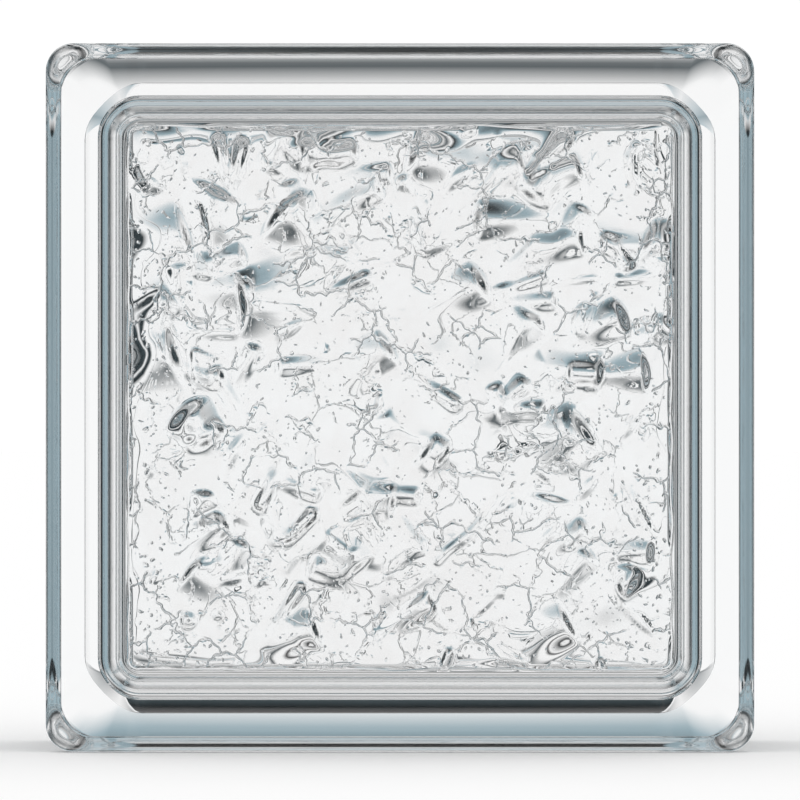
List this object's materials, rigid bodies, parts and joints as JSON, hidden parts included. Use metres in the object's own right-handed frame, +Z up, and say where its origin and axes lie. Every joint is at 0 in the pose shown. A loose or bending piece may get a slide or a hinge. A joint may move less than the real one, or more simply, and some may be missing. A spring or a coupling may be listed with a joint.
{
  "type": "glass block",
  "caption": "Square hollow glass block of two fused pressed-glass dishes, with clear rounded lips, a mortar key round its edges and an ice-like relief inside both faces.",
  "frame": {"origin": "under the middle of the block, on the level surface that its lower lips stand on", "axes": "+X to the right across the front face, +Y from the front face to the back face, +Z up"},
  "size_m": [0.1968, 0.0984, 0.1969],
  "materials": {
    "clear_glass": "colourless pressed glass, fire-polished and smooth outside, with a rippled relief on the inside of both faces"
  },
  "bodies": {
    "root": {"front_dish": "clear_glass", "back_dish": "clear_glass"}
  },
  "joints": []
}
